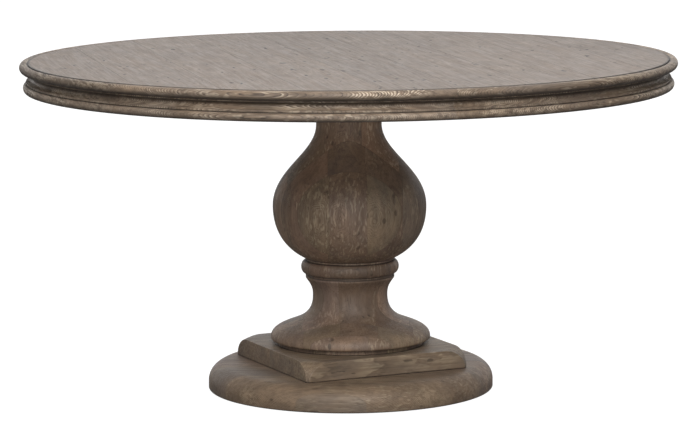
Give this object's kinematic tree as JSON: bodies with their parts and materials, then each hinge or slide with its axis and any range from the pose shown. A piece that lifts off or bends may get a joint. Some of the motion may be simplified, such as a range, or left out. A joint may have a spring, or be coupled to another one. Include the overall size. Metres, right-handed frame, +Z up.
{
  "type": "round pedestal table",
  "caption": "Round dining table: planked wooden top with a moulded rim, turned baluster pedestal, square plinth and round base on screw-in levelling feet.",
  "frame": {"origin": "on the floor under the middle of the table, at the level the feet stand on", "axes": "+Z up; X and Y run square to the plinth's sides"},
  "size_m": [1.524, 1.524, 0.775],
  "materials": {
    "oak_top": "matt grey-beige weathered oak, wire brushed",
    "oak_rim": "satin brown weathered oak with dark quirks",
    "oak_pedestal": "satin dark grey-brown weathered oak",
    "oak_hidden": "plain sanded oak",
    "zinc_steel": "bright zinc plating",
    "black_plastic": "matt moulded"
  },
  "bodies": {
    "table": {"field_board_1": "oak_top", "field_board_2": "oak_top", "field_board_3": "oak_top", "field_board_4": "oak_top", "field_board_5": "oak_top", "field_board_6": "oak_top", "field_board_7": "oak_top", "field_board_8": "oak_top", "field_board_9": "oak_top", "lip_segment_1": "oak_rim", "lip_segment_2": "oak_rim", "lip_segment_3": "oak_rim", "lip_segment_4": "oak_rim", "lip_segment_5": "oak_rim", "lip_segment_6": "oak_rim", "moulding_segment_1": "oak_rim", "moulding_segment_2": "oak_rim", "moulding_segment_3": "oak_rim", "moulding_segment_4": "oak_rim", "moulding_segment_5": "oak_rim", "moulding_segment_6": "oak_rim", "cleat_front": "oak_hidden", "cleat_back": "oak_hidden", "mounting_plate": "oak_hidden", "baluster": "oak_pedestal", "collar_ring": "oak_pedestal", "spool": "oak_pedestal", "foot_ring": "oak_pedestal", "square_plinth": "oak_pedestal", "base_disc": "oak_pedestal", "plate_bolt_1": "zinc_steel", "plate_bolt_2": "zinc_steel", "plate_bolt_3": "zinc_steel", "plate_bolt_4": "zinc_steel", "plate_washer_1": "zinc_steel", "plate_washer_2": "zinc_steel", "plate_washer_3": "zinc_steel", "plate_washer_4": "zinc_steel", "tie_rod": "zinc_steel", "tie_nut_top": "zinc_steel", "tie_nut_bottom": "zinc_steel", "tie_washer_top": "zinc_steel", "tie_washer_bottom": "zinc_steel", "base_screw_1": "zinc_steel", "base_screw_2": "zinc_steel", "base_screw_3": "zinc_steel", "base_screw_4": "zinc_steel", "foot_insert_1": "zinc_steel", "foot_insert_2": "zinc_steel", "foot_insert_3": "zinc_steel", "foot_insert_4": "zinc_steel"},
    "pad_1": {"foot_pad_1": "black_plastic"},
    "stud_1": {"foot_stud_1": "zinc_steel"},
    "pad_2": {"foot_pad_2": "black_plastic"},
    "stud_2": {"foot_stud_2": "zinc_steel"},
    "pad_3": {"foot_pad_3": "black_plastic"},
    "stud_3": {"foot_stud_3": "zinc_steel"},
    "pad_4": {"foot_pad_4": "black_plastic"},
    "stud_4": {"foot_stud_4": "zinc_steel"}
  },
  "joints": [
    {"name": "foot_1_travel", "type": "slide", "parent": "table", "child": "pad_1", "axis": [0, 0, -1], "range_m": [0, 0.01]},
    {"name": "foot_1_turn", "type": "hinge", "parent": "pad_1", "child": "stud_1", "pos_m": [0.20153, 0.20153, 0.012], "axis": [0, 0, 1], "range_deg": [0, 2880]},
    {"name": "foot_2_travel", "type": "slide", "parent": "table", "child": "pad_2", "axis": [0, 0, -1], "range_m": [0, 0.01]},
    {"name": "foot_2_turn", "type": "hinge", "parent": "pad_2", "child": "stud_2", "pos_m": [-0.20153, 0.20153, 0.012], "axis": [0, 0, 1], "range_deg": [0, 2880]},
    {"name": "foot_3_travel", "type": "slide", "parent": "table", "child": "pad_3", "axis": [0, 0, -1], "range_m": [0, 0.01]},
    {"name": "foot_3_turn", "type": "hinge", "parent": "pad_3", "child": "stud_3", "pos_m": [-0.20153, -0.20153, 0.012], "axis": [0, 0, 1], "range_deg": [0, 2880]},
    {"name": "foot_4_travel", "type": "slide", "parent": "table", "child": "pad_4", "axis": [0, 0, -1], "range_m": [0, 0.01]},
    {"name": "foot_4_turn", "type": "hinge", "parent": "pad_4", "child": "stud_4", "pos_m": [0.20153, -0.20153, 0.012], "axis": [0, 0, 1], "range_deg": [0, 2880]}
  ],
  "couplings": [
    {"joint": "foot_1_travel", "follows": "foot_1_turn", "m_per_rad": 0.00019894},
    {"joint": "foot_2_travel", "follows": "foot_2_turn", "m_per_rad": 0.00019894},
    {"joint": "foot_3_travel", "follows": "foot_3_turn", "m_per_rad": 0.00019894},
    {"joint": "foot_4_travel", "follows": "foot_4_turn", "m_per_rad": 0.00019894}
  ]
}
